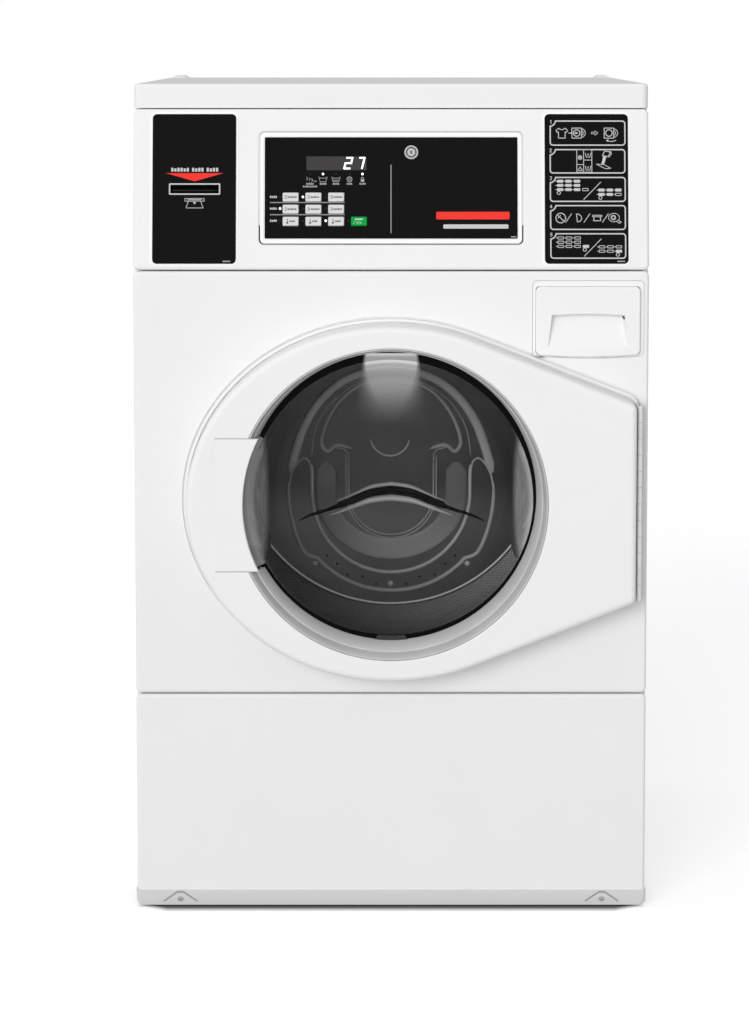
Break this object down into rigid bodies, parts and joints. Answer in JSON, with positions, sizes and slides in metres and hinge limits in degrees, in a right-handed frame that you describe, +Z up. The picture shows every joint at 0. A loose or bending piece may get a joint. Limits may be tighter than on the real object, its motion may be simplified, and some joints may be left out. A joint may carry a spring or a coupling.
{
  "type": "front loading washing machine",
  "caption": "Free-standing front-loading commercial washing machine: sprung tub, belt-driven drum, hinged glass door, leaning control panel with keys, detergent drawer and levelling feet.",
  "frame": {"origin": "middle of the overall footprint, on the floor", "axes": "+Z up, -Y towards the user, +X to the right of someone who faces the machine"},
  "size_m": [0.683, 0.777, 1.112],
  "materials": {
    "white_enamel": "smooth white enamel",
    "white_plastic": "satin white moulding",
    "silver_trim": "silver painted moulding",
    "dark_glass": "clear dark bowl",
    "black_film": "black printed film",
    "key_grey": "light grey keys",
    "start_green": "green key",
    "zinc_steel": "zinc plated steel",
    "stainless": "brushed stainless sheet",
    "cast_aluminium": "as cast",
    "grey_rubber": "moulded rubber",
    "tub_grey": "grey coated steel",
    "concrete": "cast concrete",
    "cast_black": "black moulding",
    "motor_steel": "black coated steel",
    "board": "circuit board",
    "hinge_grey": "grey painted steel"
  },
  "bodies": {
    "cabinet": {"cabinet_wrap": "white_enamel", "rear_panel": "zinc_steel", "base_frame": "zinc_steel", "top_panel": "white_enamel", "front_panel": "white_enamel", "lower_front_panel": "white_enamel", "control_panel": "white_enamel", "card_plate": "black_film", "card_reader": "black_film", "instruction_plate": "black_film", "dispenser_housing": "white_plastic", "water_valve": "white_plastic", "door_lock": "cast_black", "cabinet_hinge_leaf": "hinge_grey", "door_gasket": "grey_rubber", "drain_pump": "cast_black", "drain_hose": "grey_rubber", "damper_tube_left": "zinc_steel", "damper_tube_right": "zinc_steel"},
    "service_flap": {"service_door": "white_enamel", "control_overlay": "black_film", "control_board": "board"},
    "flap_lock": {"lock_cylinder": "zinc_steel"},
    "loading_door": {"door_frame": "white_plastic", "door_liner": "white_plastic", "window_trim": "silver_trim", "door_glass": "dark_glass", "door_handle": "white_plastic", "door_strike": "zinc_steel", "door_hinge_leaf": "hinge_grey"},
    "drawer": {"dispenser_drawer": "white_plastic"},
    "tub": {"tub_front": "tub_grey", "tub_rear": "tub_grey", "counterweight": "concrete", "motor": "motor_steel", "drive_belt": "grey_rubber", "bearing_front": "stainless", "bearing_rear": "stainless", "damper_rod_left": "zinc_steel", "damper_rod_right": "zinc_steel", "spring_left": "zinc_steel", "spring_right": "zinc_steel"},
    "drum": {"drum_basket": "stainless", "drum_shaft": "cast_aluminium", "drum_pulley": "cast_aluminium"},
    "rotor": {"motor_pulley": "zinc_steel"},
    "selection_key_1": {"key_1": "key_grey"},
    "selection_key_2": {"key_2": "key_grey"},
    "selection_key_3": {"key_3": "key_grey"},
    "selection_key_4": {"key_4": "key_grey"},
    "selection_key_5": {"key_5": "key_grey"},
    "selection_key_6": {"key_6": "key_grey"},
    "selection_key_7": {"key_7": "key_grey"},
    "selection_key_8": {"key_8": "key_grey"},
    "selection_key_9": {"key_9": "key_grey"},
    "start_button": {"start_key": "start_green"},
    "levelling_foot_1": {"foot_1": "grey_rubber"},
    "levelling_foot_2": {"foot_2": "grey_rubber"},
    "levelling_foot_3": {"foot_3": "grey_rubber"},
    "levelling_foot_4": {"foot_4": "grey_rubber"}
  },
  "joints": [
    {"name": "door_swing", "type": "hinge", "parent": "cabinet", "child": "loading_door", "pos_m": [0.3277, -0.3705, 0.557], "axis": [0, 0, 1], "range_deg": [0, 175]},
    {"name": "service_flap_swing", "type": "hinge", "parent": "cabinet", "child": "service_flap", "pos_m": [0, -0.32175, 0.90028], "axis": [1, 0, 0], "range_deg": [0, 90]},
    {"name": "flap_lock_turn", "type": "hinge", "parent": "service_flap", "child": "flap_lock", "pos_m": [0.0267, -0.30499, 1.01701], "axis": [0, 0.9866, -0.1631], "range_deg": [-90, 0]},
    {"name": "drawer_slide", "type": "slide", "parent": "cabinet", "child": "drawer", "axis": [0, -1, 0], "range_m": [0, 0.15]},
    {"name": "tub_bounce", "type": "slide", "parent": "cabinet", "child": "tub", "axis": [0, 0, 1], "range_m": [-0.012, 0.012], "stiffness_N_per_m": 30000, "springref_m": 0.04269, "deforming": ["spring_left", "spring_right", "door_gasket", "drain_hose"]},
    {"name": "drum_spin", "type": "hinge", "parent": "tub", "child": "drum", "pos_m": [0, -0.3305, 0.557], "axis": [0, 1, 0], "continuous": true},
    {"name": "motor_spin", "type": "hinge", "parent": "tub", "child": "rotor", "pos_m": [0, -0.3305, 0.165], "axis": [0, 1, 0], "continuous": true},
    {"name": "key_1_press", "type": "slide", "parent": "service_flap", "child": "selection_key_1", "axis": [0, 0.9866, -0.1631], "range_m": [0, 0.0006], "stiffness_N_per_m": 600},
    {"name": "key_2_press", "type": "slide", "parent": "service_flap", "child": "selection_key_2", "axis": [0, 0.9866, -0.1631], "range_m": [0, 0.0006], "stiffness_N_per_m": 600},
    {"name": "key_3_press", "type": "slide", "parent": "service_flap", "child": "selection_key_3", "axis": [0, 0.9866, -0.1631], "range_m": [0, 0.0006], "stiffness_N_per_m": 600},
    {"name": "key_4_press", "type": "slide", "parent": "service_flap", "child": "selection_key_4", "axis": [0, 0.9866, -0.1631], "range_m": [0, 0.0006], "stiffness_N_per_m": 600},
    {"name": "key_5_press", "type": "slide", "parent": "service_flap", "child": "selection_key_5", "axis": [0, 0.9866, -0.1631], "range_m": [0, 0.0006], "stiffness_N_per_m": 600},
    {"name": "key_6_press", "type": "slide", "parent": "service_flap", "child": "selection_key_6", "axis": [0, 0.9866, -0.1631], "range_m": [0, 0.0006], "stiffness_N_per_m": 600},
    {"name": "key_7_press", "type": "slide", "parent": "service_flap", "child": "selection_key_7", "axis": [0, 0.9866, -0.1631], "range_m": [0, 0.0006], "stiffness_N_per_m": 600},
    {"name": "key_8_press", "type": "slide", "parent": "service_flap", "child": "selection_key_8", "axis": [0, 0.9866, -0.1631], "range_m": [0, 0.0006], "stiffness_N_per_m": 600},
    {"name": "key_9_press", "type": "slide", "parent": "service_flap", "child": "selection_key_9", "axis": [0, 0.9866, -0.1631], "range_m": [0, 0.0006], "stiffness_N_per_m": 600},
    {"name": "start_press", "type": "slide", "parent": "service_flap", "child": "start_button", "axis": [0, 0.9866, -0.1631], "range_m": [0, 0.0006], "stiffness_N_per_m": 600},
    {"name": "foot_1_level", "type": "slide", "parent": "cabinet", "child": "levelling_foot_1", "axis": [0, 0, -1], "range_m": [0, 0.02]},
    {"name": "foot_2_level", "type": "slide", "parent": "cabinet", "child": "levelling_foot_2", "axis": [0, 0, -1], "range_m": [0, 0.02]},
    {"name": "foot_3_level", "type": "slide", "parent": "cabinet", "child": "levelling_foot_3", "axis": [0, 0, -1], "range_m": [0, 0.02]},
    {"name": "foot_4_level", "type": "slide", "parent": "cabinet", "child": "levelling_foot_4", "axis": [0, 0, -1], "range_m": [0, 0.02]}
  ],
  "couplings": [
    {"joint": "motor_spin", "follows": "drum_spin", "ratio": 9.1176}
  ]
}
